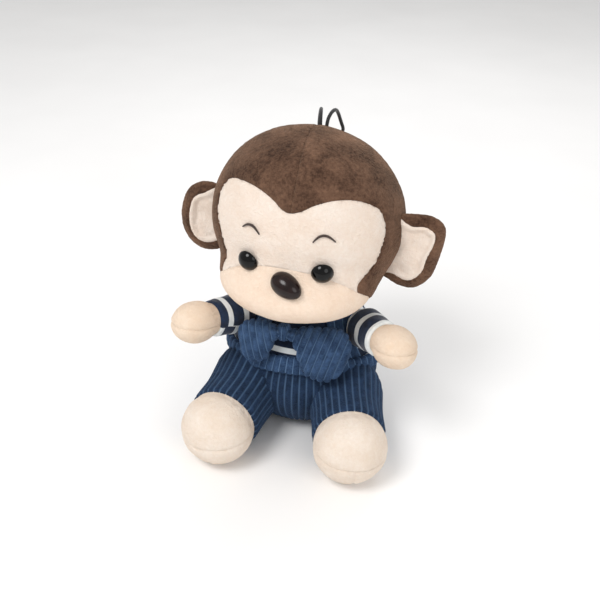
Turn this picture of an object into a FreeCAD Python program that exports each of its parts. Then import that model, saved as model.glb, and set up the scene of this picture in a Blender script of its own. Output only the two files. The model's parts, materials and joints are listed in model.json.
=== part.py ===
"""A seated plush monkey in corduroy dungarees, a striped shirt and a bow tie.

Millimetres, +Z up. The toy faces -Y and its own left is +X. The origin is the centre of the flat
seat, on the surface that the toy sits on. The head is turned a little towards its right.

Covers are thin fabric shells, each over its own filling. Limbs end in a ball that sits in a
socket of the torso, because a stuffed limb turns about its seam.
"""
import FreeCAD, Part
import math
import os
import Sketcher
from FreeCAD import Placement, Rotation, Vector

SIZES = [
    # fabric and gaps
    ("cover_thickness", 1.5),       # plush and jersey, pile included
    ("filling_gap", 0.1),           # between a cover and its filling
    ("piece_gap", 0.5),             # between pieces that move apart
    ("overall_layer_gap", 0.2),     # under the waistband and the straps
    ("corduroy_thickness", 2.6),    # wale to back, as worn over the shirt
    ("seam_bore_gap", 0.3),         # round a shank or a cord in its hole
    # head
    ("head_half_width", 82.5),
    ("head_half_depth", 67.5),
    ("head_half_height", 76.5),
    ("head_centre_height", 194.0),
    ("head_setback", -1.6),
    ("head_turn", 6.3),             # degrees towards the toy's right
    ("muzzle_half_width", 63.5),
    ("muzzle_half_depth", 45.5),
    ("muzzle_half_height", 27.5),
    ("muzzle_forward", 37.0),
    ("muzzle_drop", 45.0),
    ("face_lobe_radius", 41.0),
    ("face_lobe_offset", 30.0),
    ("face_lobe_height", 1.0),
    ("muzzle_seam_radius", 75.0),
    ("muzzle_seam_top", -8.0),
    ("muzzle_side_top", -38.0),
    ("muzzle_side_back", -8.0),
    # eyes and nose
    ("eye_radius", 9.2),
    ("eye_dome_height", 6.5),
    ("eye_spread", 30.0),
    ("eye_drop", 15.0),
    ("shank_radius", 2.0),
    ("shank_length", 11.0),
    ("washer_radius", 7.5),
    ("washer_thickness", 2.0),
    ("washer_depth", 6.0),
    ("nose_washer_depth", 8.6),     # the nose sits askew on the muzzle, so its washer lies deeper
    ("washer_slack", 0.2),          # filling held off each face of a washer
    ("nose_half_width", 12.5),
    ("nose_half_height", 9.8),
    ("nose_dome_height", 10.5),
    ("nose_drop", 27.0),
    ("nose_offset", 5.0),           # sewn a little towards the toy's left
    ("nose_tilt", 38.0),            # degrees that the nose looks up
    ("nose_reach", 73.5),
    # eyebrows
    ("eyebrow_arc_radius", 9.0),
    ("eyebrow_arc_angle", 110.0),
    ("eyebrow_thread_radius", 0.8),
    ("eyebrow_lift", 0.9),          # the curved thread's ends still clear the face
    ("eyebrow_height", 7.5),
    ("eyebrow_spread", 29.5),
    # ears
    ("ear_half_width", 28.0),
    ("ear_half_height", 33.0),
    ("ear_half_thickness", 8.0),
    ("ear_spread", 88.0),
    ("ear_drop", 14.0),
    ("ear_setback", -7.0),
    ("ear_rim_width", 7.5),
    ("ear_panel_sink", 0.8),        # middle of the inner panel, in from the ear's front
    ("ear_inner_thickness", 3.0),
    ("ear_root_gap", 3.2),
    # hanging loop
    ("loop_cord_diameter", 3.0),
    ("loop_knot_radius", 5.5),
    ("loop_opening_radius", 6.5),
    # neck
    ("neck_seam_radius", 16.0),
    ("neck_thread_radius", 1.0),
    ("neck_seam_height", 114.7),
    # torso
    ("chest_half_width", 68.0),
    ("chest_half_depth", 54.0),
    ("chest_half_height", 45.0),
    ("chest_centre_height", 68.0),
    ("chest_setback", 2.0),
    ("seat_half_width", 68.0),
    ("seat_half_depth", 62.0),
    ("seat_half_height", 54.0),
    ("seat_centre_height", 44.0),
    ("seat_setback", -2.0),
    # dungarees
    ("waistband_height", 15.0),
    ("waistband_centre_height", 66.0),
    ("waistband_tilt", 10.0),       # degrees, front edge up
    ("strap_width", 17.0),
    ("strap_foot_spread", 50.0),
    ("strap_slant", 24.0),          # degrees off upright, tops leaning in
    # bow tie
    ("bow_offset", -10.0),
    ("bow_reach", 50.0),
    ("bow_height", 105.0),
    ("bow_lean", 25.0),             # degrees that the wings' lower edges stand forward
    ("bow_centre_radius", 8.5),
    ("bow_centre_half_height", 10.5),
    ("bow_wing_half_thickness", 7.0),
    ("bow_left_half_length", 31.0),
    ("bow_left_half_height", 17.0),
    ("bow_left_droop", 24.0),
    ("bow_right_half_length", 22.0),
    ("bow_right_half_height", 17.0),
    ("bow_right_droop", 34.0),
    # arms
    ("shoulder_spread", 58.0),
    ("shoulder_reach", 24.0),
    ("shoulder_height", 101.0),
    ("arm_radius", 15.0),
    ("arm_turn_out", 36.0),         # degrees from straight ahead
    ("arm_lift", 13.0),             # degrees above level
    ("sleeve_length", 31.0),
    ("hand_half_width", 18.0),
    ("hand_half_length", 21.0),
    ("hand_centre", 48.0),
    # legs
    ("hip_spread", 45.0),
    ("hip_reach", 40.0),
    ("hip_height", 33.0),
    ("leg_radius", 30.5),
    ("leg_turn_out", 12.0),
    ("leg_drop", 2.0),
    ("trouser_leg_length", 49.0),
    ("foot_half_width", 31.5),
    ("foot_half_length", 29.0),
    ("foot_centre", 61.0),
    # seams of the limbs
    ("limb_seam_thread_radius", 0.8),
    ("limb_seam_angle", 40.0),      # degrees behind the ball's equator
    ("limb_hollow_ahead", 8.0),     # the torso's hollow round a limb is centred this far out
]

# The loop's route over the crown, from the knot and back to it, in the head's own frame.
LOOP_ROUTE = [
    (3.0, 19.0, 66.5), (2.8, 19.0, 77.4), (1.4, 25.0, 83.5), (-0.6, 33.1, 83.6),
    (-3.2, 39.8, 78.0), (-5.4, 45.9, 69.0), (-7.1, 51.0, 59.7), (-1.1, 55.0, 53.0),
    (8.8, 55.4, 52.8), (15.3, 51.7, 59.2), (13.6, 46.0, 68.8), (12.4, 40.1, 78.3),
    (11.7, 33.4, 84.1), (10.0, 25.1, 83.7), (8.0, 19.6, 77.5), (7.4, 20.0, 66.5),
]
LOOP_OPENING = (5.2, 19.5)          # where the loop comes through the crown seam
SIDES = (("left", 1), ("right", -1))
FAR = 400.0                         # a cutting block's reach, past every piece
COVER_INSET = "{cover_thickness}"
FILLING_INSET = "({cover_thickness} + {filling_gap})"

doc = FreeCAD.newDocument("plush_monkey")
sheet = doc.addObject("Spreadsheet::Sheet", "sizes")
for row, (alias, value) in enumerate(SIZES, start=1):
    sheet.set(f"A{row}", alias)
    sheet.set(f"B{row}", str(value))
    sheet.setAlias(f"B{row}", alias)
doc.recompute()
size = {alias: float(sheet.get(alias)) for alias, value in SIZES}
NODES = []


def at(x=0.0, y=0.0, z=0.0):
    return Placement(Vector(x, y, z), Rotation())


def turned(axis, degrees):
    return Placement(Vector(), Rotation(Vector(*axis), degrees))


def bind(item, **expressions):
    """Tie properties to cells: a word that names a size reads its cell."""
    for name, expression in expressions.items():
        for alias in sorted(size, key=len, reverse=True):
            expression = expression.replace(f"{{{alias}}}", f"sizes.{alias}")
        item.setExpression(name, expression)


def ellipsoid(name, place, half_x, half_y, half_z, poles="sides"):
    """Two halves, poles at the sides or the ends, so that no face closes on itself."""
    halves = []
    for half in (0, 180):
        item = doc.addObject("Part::Ellipsoid", f"{name}_half_{half}")
        item.Angle3 = 180
        if poles == "sides":
            bind(item, Radius1=half_x, Radius2=half_y, Radius3=half_z)
            item.Placement = place * turned((1, 1, 1), 120) * turned((0, 0, 1), half)
        else:
            bind(item, Radius1=half_z, Radius2=half_y, Radius3=half_x)
            item.Placement = place * turned((0, 0, 1), 90 + half)
        halves.append(item)
    return fused(name, *halves)


def cylinder(name, place, radius, height):
    item = doc.addObject("Part::Cylinder", name)
    bind(item, Radius=radius, Height=height)
    item.Placement = place
    return item


def ball(name, place, radius):
    item = doc.addObject("Part::Sphere", name)
    bind(item, Radius=radius)
    item.Placement = place
    return item


def ring(name, place, ring_radius, thread_radius, angle="360"):
    item = doc.addObject("Part::Torus", name)
    bind(item, Radius1=ring_radius, Radius2=thread_radius, Angle3=angle)
    item.Placement = place
    return item


def block(name, place, low, high):
    """A cutting block between two corners of its own frame."""
    item = doc.addObject("Part::Box", name)
    item.Length = high[0] - low[0]
    item.Width = high[1] - low[1]
    item.Height = high[2] - low[2]
    item.Placement = place * at(*low)
    return item


def fused(name, *pieces):
    item = doc.addObject("Part::MultiFuse", name)
    item.Shapes = list(pieces)
    return item


def common(name, *pieces):
    item = doc.addObject("Part::MultiCommon", name)
    item.Shapes = list(pieces)
    return item


def cut(name, base, *tools):
    item = doc.addObject("Part::Cut", name)
    item.Base = base
    item.Tool = tools[0] if len(tools) == 1 else fused(f"{name}_tools", *tools)
    return item


def node(label, item):
    """The item is a sub-part: its label names its file."""
    item.Label = label
    NODES.append(item)
    return item


# ---- the head ------------------------------------------------------------------------------
head = at(0, 0, size["head_centre_height"]) * turned((0, 0, 1), -size["head_turn"])
head = head * at(0, size["head_setback"], 0)
crown_hole = head * at(*LOOP_OPENING, 0)


def head_solid(name, inset):
    """Skull and muzzle as one form, its surface drawn in by an inset."""
    skull = ellipsoid(f"{name}_skull", head, f"{{head_half_width}} - {inset}",
                      f"{{head_half_depth}} - {inset}", f"{{head_half_height}} - {inset}")
    muzzle_place = head * at(0, -size["muzzle_forward"], -size["muzzle_drop"])
    muzzle = ellipsoid(f"{name}_muzzle", muzzle_place, f"{{muzzle_half_width}} - {inset}",
                       f"{{muzzle_half_depth}} - {inset}", f"{{muzzle_half_height}} - {inset}")
    return fused(name, skull, muzzle)


def on_skull(x, z):
    """The skull's front surface point and its outward normal, in the head's frame."""
    half = [size["head_half_width"], size["head_half_depth"], size["head_half_height"]]
    y = -half[1] * math.sqrt(1 - (x / half[0]) ** 2 - (z / half[2]) ** 2)
    normal = Vector(x / half[0] ** 2, y / half[1] ** 2, z / half[2] ** 2)
    return Vector(x, y, z), normal.normalize()


def facing(point, normal):
    """A place in the head whose own +Z looks along a normal."""
    return head * Placement(point, Rotation(Vector(0, 0, 1), normal))


def eye_place(sign):
    point, normal = on_skull(sign * size["eye_spread"], -size["eye_drop"])
    return facing(point + normal * size["filling_gap"], normal)


nose_up = math.radians(size["nose_tilt"])
nose_normal = Vector(0, -math.cos(nose_up), math.sin(nose_up))
nose_place = facing(Vector(size["nose_offset"], -size["nose_reach"], -size["nose_drop"]), nose_normal)
button_places = [eye_place(sign) for side, sign in SIDES] + [nose_place]
washer_depths = ["washer_depth", "washer_depth", "nose_washer_depth"]


def shank_holes(name, clearance):
    """Bores along each shank, from well inside the head to outside it."""
    bores = []
    for index, place in enumerate(button_places):
        bores.append(cylinder(f"{name}_{index}", place * at(0, 0, -size["shank_length"] - 2),
                              f"{{shank_radius}} + {clearance}", "{shank_length} + 4"))
    return bores


head_shell = cut("head_shell", head_solid("head_outside", "0"),
                 head_solid("head_inside", COVER_INSET),
                 cylinder("crown_opening", crown_hole, "{loop_opening_radius}", "100"),
                 *shank_holes("shank_hole", "{seam_bore_gap}"))

looking_front = turned((1, 0, 0), 90)       # a cylinder's axis turned to point at -Y
lobes = fused("face_lobes", *[
    cylinder(f"face_lobe_{side}",
             head * at(sign * size["face_lobe_offset"], 0, size["face_lobe_height"]) * looking_front,
             "{face_lobe_radius}", "150")
    for side, sign in SIDES])
seam_centre = size["muzzle_seam_top"] - size["muzzle_seam_radius"]
seam_disc = cylinder("muzzle_seam_disc", head * at(0, 0, seam_centre) * looking_front,
                     "{muzzle_seam_radius}", "150")
muzzle_block = block("muzzle_block", head, (-FAR, -FAR, -FAR),
                     (FAR, size["muzzle_side_back"], size["muzzle_side_top"]))
lobe_drop = math.sqrt(size["face_lobe_radius"] ** 2 - size["face_lobe_offset"] ** 2)
lobe_cusp = size["face_lobe_height"] - lobe_drop
under_nose = block("under_nose", head, (-size["face_lobe_offset"], -FAR, size["muzzle_side_top"]),
                   (size["face_lobe_offset"], 0, lobe_cusp + 2))
muzzle_zone = fused("muzzle_zone", common("muzzle_top", lobes, seam_disc), under_nose, muzzle_block)
face_zone = cut("face_zone", lobes, seam_disc, under_nose, muzzle_block)
node("face_panel", common("face_panel_shape", head_shell, face_zone))
node("muzzle_panel", common("muzzle_panel_shape", head_shell, muzzle_zone))
plush_cap = cut("plush_cap", head_shell, lobes, muzzle_zone)
for side, sign in SIDES:
    half = block(f"head_half_{side}", head, (min(0, sign * FAR), -FAR, -FAR), (max(0, sign * FAR), FAR, FAR))
    node(f"head_cover_{side}", common(f"head_cover_{side}_shape", plush_cap, half))

knot_place = head * at(*LOOP_OPENING, LOOP_ROUTE[0][2] - size["loop_knot_radius"] + 1)
washer_pockets = [
    cylinder(f"washer_pocket_{index}", place * at(0, 0, -size[washer_depths[index]] - size["washer_slack"]),
             "{washer_radius} + {seam_bore_gap}", "{washer_thickness} + {washer_slack} * 2")
    for index, place in enumerate(button_places)]
node("head_stuffing", cut(
    "head_stuffing_shape", head_solid("head_filling", FILLING_INSET),
    ball("knot_pocket", knot_place, "{loop_knot_radius} + {seam_bore_gap}"),
    cylinder("loop_bore", knot_place, "{loop_opening_radius}", "60"),
    *washer_pockets, *shank_holes("shank_bore", "{seam_bore_gap}")))


# ---- buttons: safety eyes, nose and their washers ------------------------------------------
def origin_plane(body, role):
    return [plane for plane in body.Origin.OriginFeatures if plane.Role == role][0]


def safety_eye(label, place):
    """A domed button on a shank, turned about its own axis."""
    body = doc.addObject("PartDesign::Body", f"{label}_body")
    sketch = body.newObject("Sketcher::SketchObject", f"{label}_outline")
    sketch.AttachmentSupport = [(origin_plane(body, "XZ_Plane"), "")]
    sketch.MapMode = "FlatFace"
    radius = size["eye_radius"]
    rise = size["eye_dome_height"]
    shank = size["shank_radius"]
    length = size["shank_length"]
    below = (rise ** 2 - radius ** 2) / (2 * rise)      # height of the dome's centre
    start = math.atan2(-below, radius)
    circle = Part.Circle(Vector(0, below, 0), Vector(0, 0, 1), rise - below)
    sketch.addGeometry(Part.LineSegment(Vector(0, rise, 0), Vector(0, -length, 0)))
    sketch.addGeometry(Part.LineSegment(Vector(0, -length, 0), Vector(shank, -length, 0)))
    sketch.addGeometry(Part.LineSegment(Vector(shank, -length, 0), Vector(shank, 0, 0)))
    sketch.addGeometry(Part.LineSegment(Vector(shank, 0, 0), Vector(radius, 0, 0)))
    sketch.addGeometry(Part.ArcOfCircle(circle, start, math.pi / 2))
    for first, second in ((0, 1), (1, 2), (2, 3), (3, 4), (4, 0)):
        sketch.addConstraint(Sketcher.Constraint("Coincident", first, 2, second, 1))
    sketch.addConstraint(Sketcher.Constraint("PointOnObject", 0, 1, -2))
    sketch.addConstraint(Sketcher.Constraint("PointOnObject", 0, 2, -2))
    sketch.addConstraint(Sketcher.Constraint("PointOnObject", 4, 3, -2))
    sketch.addConstraint(Sketcher.Constraint("PointOnObject", 3, 1, -1))
    sketch.addConstraint(Sketcher.Constraint("PointOnObject", 3, 2, -1))
    sketch.addConstraint(Sketcher.Constraint("Horizontal", 1))
    sketch.addConstraint(Sketcher.Constraint("Vertical", 2))
    for geometry, cell in ((2, "shank_radius"), (3, "eye_radius")):
        index = sketch.addConstraint(Sketcher.Constraint("DistanceX", -1, 1, geometry, 2, size[cell]))
        sketch.setExpression(f"Constraints[{index}]", f"sizes.{cell}")
    index = sketch.addConstraint(Sketcher.Constraint("DistanceY", 0, 2, -1, 1, length))
    sketch.setExpression(f"Constraints[{index}]", "sizes.shank_length")
    index = sketch.addConstraint(Sketcher.Constraint("DistanceY", -1, 1, 0, 1, rise))
    sketch.setExpression(f"Constraints[{index}]", "sizes.eye_dome_height")
    turn = body.newObject("PartDesign::Revolution", f"{label}_turn")
    turn.Profile = sketch
    turn.ReferenceAxis = (sketch, ["V_Axis"])
    turn.Angle = 360
    body.Placement = place
    return node(label, body)


def locking_washer(label, place, depth="washer_depth"):
    """A flat ring that grips a shank behind the cover."""
    body = doc.addObject("PartDesign::Body", f"{label}_body")
    sketch = body.newObject("Sketcher::SketchObject", f"{label}_outline")
    sketch.AttachmentSupport = [(origin_plane(body, "XY_Plane"), "")]
    sketch.MapMode = "FlatFace"
    bore = size["shank_radius"] + size["filling_gap"]
    for index, radius in enumerate((size["washer_radius"], bore)):
        sketch.addGeometry(Part.Circle(Vector(), Vector(0, 0, 1), radius))
        sketch.addConstraint(Sketcher.Constraint("Coincident", index, 3, -1, 1))
    rim = sketch.addConstraint(Sketcher.Constraint("Radius", 0, size["washer_radius"]))
    sketch.setExpression(f"Constraints[{rim}]", "sizes.washer_radius")
    hole = sketch.addConstraint(Sketcher.Constraint("Radius", 1, bore))
    sketch.setExpression(f"Constraints[{hole}]", "sizes.shank_radius + sizes.filling_gap")
    pad = body.newObject("PartDesign::Pad", f"{label}_pad")
    pad.Profile = sketch
    pad.setExpression("Length", "sizes.washer_thickness")
    body.Placement = place * at(0, 0, -size[depth])
    return node(label, body)


for side, sign in SIDES:
    safety_eye(f"eye_{side}", eye_place(sign))
    locking_washer(f"eye_washer_{side}", eye_place(sign))

nose_dome = ellipsoid("nose_dome", nose_place, "{nose_half_width}", "{nose_half_height}", "{nose_dome_height}")
nose_back = block("nose_back", nose_place, (-FAR, -FAR, -FAR), (FAR, FAR, 0))
nose_shank = cylinder("nose_shank", nose_place * at(0, 0, -size["shank_length"]), "{shank_radius}",
                      "{shank_length} + 1")
node("nose", fused("nose_shape", cut("nose_button", nose_dome, nose_back), nose_shank))
locking_washer("nose_washer", nose_place, "nose_washer_depth")

for side, sign in SIDES:
    point, normal = on_skull(sign * size["eyebrow_spread"], size["eyebrow_height"])
    lifted = point + normal * (size["eyebrow_thread_radius"] + size["eyebrow_lift"])
    upright = facing(lifted, normal)
    lean = upright.Rotation.inverted().multVec(head.Rotation.multVec(Vector(0, 0, 1)))
    first_ray = math.degrees(math.atan2(lean.y, lean.x)) - size["eyebrow_arc_angle"] / 2
    node(f"eyebrow_{side}", ring(f"eyebrow_{side}_shape", upright * turned((0, 0, 1), first_ray),
                                 "{eyebrow_arc_radius}", "{eyebrow_thread_radius}", "{eyebrow_arc_angle}"))


# ---- the hanging loop and its knot ---------------------------------------------------------
def loop_path(points):
    """Straight runs joined by tangent arcs, as large as the runs allow."""
    edges = []
    radii = []
    start = points[0]
    for before, corner, after in zip(points, points[1:], points[2:]):
        to_corner = corner - before
        to_next = after - corner
        half_turn = to_corner.getAngle(to_next) / 2
        trim = 0.45 * min(to_corner.Length, to_next.Length)
        radii.append(trim / math.tan(half_turn))
        first = corner - Vector(to_corner).normalize() * trim
        last = corner + Vector(to_next).normalize() * trim
        inward = (first + last) * 0.5 - corner
        middle = corner + Vector(inward).normalize() * radii[-1] * (1 / math.cos(half_turn) - 1)
        edges.append(Part.LineSegment(start, first).toShape())
        edges.append(Part.Arc(first, middle, last).toShape())
        start = last
    edges.append(Part.LineSegment(start, points[-1]).toShape())
    return Part.Wire(edges), radii


def hanging_loop():
    path, radii = loop_path([head.multVec(Vector(*point)) for point in LOOP_ROUTE])
    radius = size["loop_cord_diameter"] / 2
    heading = path.Edges[0].tangentAt(path.Edges[0].FirstParameter)
    section = Part.Wire([Part.Circle(path.Vertexes[0].Point, heading, radius).toShape()])
    tube = path.makePipeShell([section], True, False)
    print("loop arc radii", [round(value, 1) for value in radii])
    print("loop length", round(path.Length, 1), "volume", round(tube.Volume, 1),
          "section times length", round(math.pi * radius ** 2 * path.Length, 1))
    return tube


loop = doc.addObject("Part::Feature", "hanging_loop_shape")
loop.Shape = hanging_loop()
node("hanging_loop", loop)
node("loop_knot", ball("loop_knot_shape", knot_place, "{loop_knot_radius}"))

# ---- the ears ------------------------------------------------------------------------------
ear_root = ellipsoid("ear_root", head, "{head_half_width} + {ear_root_gap}",
                     "{head_half_depth} + {ear_root_gap}", "{head_half_height} + {ear_root_gap}", "ends")
for side, sign in SIDES:
    place = head * at(sign * size["ear_spread"], size["ear_setback"], -size["ear_drop"])
    disc = ellipsoid(f"ear_{side}_disc", place, "{ear_half_width}", "{ear_half_thickness}", "{ear_half_height}")
    towards_head = -sign * size["ear_rim_width"] / 2
    inner_place = place * at(towards_head, size["ear_panel_sink"] - size["ear_half_thickness"], 0)
    hollow = ellipsoid(f"ear_{side}_hollow", inner_place, "{ear_half_width} - {ear_rim_width}",
                       "{ear_inner_thickness} + {filling_gap}", "{ear_half_height} - {ear_rim_width}")
    panel = ellipsoid(f"ear_{side}_panel", inner_place, "{ear_half_width} - {ear_rim_width} - {filling_gap}",
                      "{ear_inner_thickness}", "{ear_half_height} - {ear_rim_width} - {filling_gap}")
    node(f"ear_back_{side}", cut(f"ear_back_{side}_shape", disc, ear_root, hollow))
    node(f"ear_inner_{side}", cut(f"ear_inner_{side}_shape", panel, ear_root))

# ---- the neck seam -------------------------------------------------------------------------
node("neck_stitching", ring("neck_stitching_shape", at(0, 0, size["neck_seam_height"]),
                            "{neck_seam_radius}", "{neck_thread_radius}"))


# ---- limb frames: own +Z runs out along the limb, own +X is the limb's outer side ----------
def limb_place(sign, name, turn_out, lift):
    pivot = at(sign * size[f"{name}_spread"], -size[f"{name}_reach"], size[f"{name}_height"])
    aim = turned((0, 0, 1), sign * turn_out) * turned((1, 0, 0), 90 - lift)
    return pivot * aim


arm_places = {}
leg_places = {}
for side, sign in SIDES:
    arm_places[side] = limb_place(sign, "shoulder", size["arm_turn_out"], size["arm_lift"])
    leg_places[side] = limb_place(sign, "hip", size["leg_turn_out"], -size["leg_drop"])
SOCKET_GAP = "{limb_seam_thread_radius} * 2 + {piece_gap} * 2"


def limb_hollow(name, place, root):
    """The room that the torso leaves round a limb: a ball that touches the seam and opens outwards."""
    return ball(f"{name}_hollow", place * at(0, 0, size["limb_hollow_ahead"]),
                f"{{{root}_radius}} + {SOCKET_GAP} + {{limb_hollow_ahead}}")


limb_hollows = []
for side, sign in SIDES:
    limb_hollows.append(limb_hollow(f"shoulder_{side}", arm_places[side], "arm"))
    limb_hollows.append(limb_hollow(f"hip_{side}", leg_places[side], "leg"))


def cleared(name, base):
    """The base with every limb's hollow taken out of it, one after another."""
    for index, hollow in enumerate(limb_hollows):
        base = cut(f"{name}_{index}", base, hollow)
    return base


# ---- the torso -----------------------------------------------------------------------------
def torso_form(name, inset):
    """Chest and seat as one form, drawn in by an inset."""
    chest = ellipsoid(f"{name}_chest", at(0, size["chest_setback"], size["chest_centre_height"]),
                      f"{{chest_half_width}} - {inset}", f"{{chest_half_depth}} - {inset}",
                      f"{{chest_half_height}} - {inset}")
    seat = ellipsoid(f"{name}_seat", at(0, size["seat_setback"], size["seat_centre_height"]),
                     f"{{seat_half_width}} - {inset}", f"{{seat_half_depth}} - {inset}",
                     f"{{seat_half_height}} - {inset}")
    return fused(name, chest, seat)


def torso_solid(name, inset, floor_height):
    """The torso's form made flat underneath."""
    below = block(f"{name}_below", at(), (-FAR, -FAR, -FAR), (FAR, FAR, floor_height))
    return cut(f"{name}_flat", torso_form(name, inset), below)


cover = size["cover_thickness"]
inside_floor = cover + size["filling_gap"]
torso_outside = cleared("torso_outline", torso_solid("torso_outside", "0", 0))
torso_inside = torso_solid("torso_inside", COVER_INSET, cover)
torso_filling = torso_solid("torso_filling", FILLING_INSET, inside_floor)
node("torso_stuffing", cleared("torso_stuffing_shape", torso_filling))

band_frame = at(0, 0, size["waistband_centre_height"]) * turned((1, 0, 0), -size["waistband_tilt"])
band_half = size["waistband_height"] / 2
above_waist = block("above_waist", band_frame, (-FAR, -FAR, 0), (FAR, FAR, FAR))
below_waist = block("below_waist", band_frame, (-FAR, -FAR, -FAR), (FAR, FAR, 0))
shirt_outline = cut("shirt_outline", torso_outside, below_waist)
trousers_outline = cut("trousers_outline", torso_outside, above_waist)
node("shirt_body", cut("shirt_body_shape", shirt_outline, torso_inside))
node("trousers_seat", cut("trousers_seat_shape", trousers_outline, torso_inside))

worn_outside = cleared("worn_outline", torso_solid(
    "worn_outside", "(0 - {overall_layer_gap} - {corduroy_thickness})", 0))
worn_inside = torso_form("worn_inside", "(0 - {overall_layer_gap})")
band_slab = block("band_slab", band_frame, (-FAR, -FAR, -band_half), (FAR, FAR, band_half))
node("waistband", cut("waistband_shape", common("waistband_outline", worn_outside, band_slab), worn_inside))
above_band = block("above_band", band_frame, (-FAR, -FAR, band_half + size["filling_gap"]), (FAR, FAR, FAR))
for side, sign in SIDES:
    half_width = size["strap_width"] / 2
    strap_frame = at(sign * size["strap_foot_spread"], 0, size["waistband_centre_height"])
    strap_frame = strap_frame * turned((0, 1, 0), -sign * size["strap_slant"])
    slab = block(f"strap_slab_{side}", strap_frame, (-half_width, -FAR, -FAR), (half_width, FAR, FAR))
    outline = common(f"strap_{side}_outline", worn_outside, slab, above_band)
    node(f"strap_{side}", cut(f"strap_{side}_shape", outline, worn_inside))

# ---- the bow tie ---------------------------------------------------------------------------
bow_place = at(size["bow_offset"], -size["bow_reach"], size["bow_height"])
node("bow_centre", ellipsoid("bow_centre_shape", bow_place, "{bow_centre_radius}", "{bow_centre_radius}",
                             "{bow_centre_half_height}"))
bow_room = cylinder("bow_room", bow_place * at(0, 0, -FAR / 2), "{bow_centre_radius} + {piece_gap}", f"{FAR}")
for side, sign in SIDES:
    length = size[f"bow_{side}_half_length"]
    droop = turned((0, 1, 0), sign * size[f"bow_{side}_droop"])
    place = bow_place * turned((1, 0, 0), -size["bow_lean"]) * droop * at(sign * length, 0, 0)
    wing = ellipsoid(f"bow_{side}_form", place, f"{{bow_{side}_half_length}}", "{bow_wing_half_thickness}",
                     f"{{bow_{side}_half_height}}")
    node(f"bow_wing_{side}", cut(f"bow_wing_{side}_shape", wing, bow_room))


# ---- arms and legs -------------------------------------------------------------------------
floor_block = block("floor_block", at(), (-FAR, -FAR, -FAR), (FAR, FAR, 0))


def limb_solid(name, place, inset, root, tip):
    """A limb's outside: ball end, straight tube and rounded tip, drawn in by an inset."""
    root_ball = ball(f"{name}_root", place, f"{{{root}_radius}} - {inset}")
    tube = cylinder(f"{name}_tube", place, f"{{{root}_radius}} - {inset}", f"{{{tip}_centre}}")
    end = ellipsoid(f"{name}_end", place * at(0, 0, size[f"{tip}_centre"]), f"{{{tip}_half_width}} - {inset}",
                    f"{{{tip}_half_width}} - {inset}", f"{{{tip}_half_length}} - {inset}", "ends")
    return fused(name, root_ball, tube, end)


def limb(side, place, root, tip, sleeve_label, cuff_cell):
    """Sleeve, two end panels and filling of one limb, with the ring of stitching at its root."""
    tag = f"{root}_{side}"
    outside = cut(f"{tag}_resting", limb_solid(f"{tag}_outside", place, "0", root, tip), floor_block)
    floor_inside = block(f"{tag}_floor_inside", at(), (-FAR, -FAR, -FAR), (FAR, FAR, cover))
    inside = cut(f"{tag}_room", limb_solid(f"{tag}_inside", place, COVER_INSET, root, tip), floor_inside)
    shell = cut(f"{tag}_shell", outside, inside)
    cuff = size[cuff_cell]
    beyond = block(f"{tag}_beyond_cuff", place, (-FAR, -FAR, cuff), (FAR, FAR, FAR))
    upper = block(f"{tag}_upper", place, (-FAR, 0, -FAR), (FAR, FAR, FAR))
    end_shell = common(f"{tag}_end_shell", shell, beyond)
    node(f"{sleeve_label}_{side}", cut(f"{tag}_sleeve", shell, beyond))
    node(f"{tip}_upper_panel_{side}", common(f"{tag}_upper_panel", end_shell, upper))
    node(f"{tip}_lower_panel_{side}", cut(f"{tag}_lower_panel", end_shell, upper))
    floor_filling = block(f"{tag}_floor_filling", at(), (-FAR, -FAR, -FAR), (FAR, FAR, inside_floor))
    node(f"{root}_stuffing_{side}", cut(f"{tag}_stuffing", limb_solid(
        f"{tag}_filling", place, FILLING_INSET, root, tip), floor_filling))


def limb_stitching(label, place, root):
    """A ring of thread behind the ball's equator, between the ball and its socket."""
    middle = size[f"{root}_radius"] + size["piece_gap"] + size["limb_seam_thread_radius"]
    behind = math.radians(size["limb_seam_angle"])
    middle_text = f"({{{root}_radius}} + {{piece_gap}} + {{limb_seam_thread_radius}})"
    node(label, ring(f"{label}_shape", place * at(0, 0, -middle * math.sin(behind)),
                     f"{middle_text} * cos({{limb_seam_angle}} * 1 deg)", "{limb_seam_thread_radius}"))


for side, sign in SIDES:
    limb(side, arm_places[side], "arm", "hand", "sleeve", "sleeve_length")
    limb_stitching(f"shoulder_stitching_{side}", arm_places[side], "arm")
    limb(side, leg_places[side], "leg", "foot", "trouser_leg", "trouser_leg_length")
    limb_stitching(f"hip_stitching_{side}", leg_places[side], "leg")

# ---- check and write -----------------------------------------------------------------------
doc.recompute()
failed = [item.Name for item in doc.Objects if "Invalid" in item.State or "Error" in item.State]
if failed:
    raise RuntimeError(f"objects failed: {failed}")
for item in NODES:
    if item.Shape.isNull() or not item.Shape.isValid() or not item.Shape.Solids:
        raise RuntimeError(f"{item.Label} has no valid shape")
os.makedirs("parts", exist_ok=True)
for item in NODES:
    item.Shape.exportStep(f"parts/{item.Label}.step")
    print(item.Label, len(item.Shape.Solids), round(item.Shape.Volume / 1000, 2), "cm3")
print(len(NODES), "sub-parts")
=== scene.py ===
"""The looks of a seated plush monkey in corduroy dungarees, a striped shirt and a bow tie.

Places are in millimetres, +Z up, and become metres as a mesh is written. The toy faces -Y and its
own left is +X. Each cover is a skin over its filling, cut along the toy's own seams.
"""
import json
import math
import bmesh
import bpy
import numpy as np
from mathutils import Matrix, Vector, noise


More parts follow.
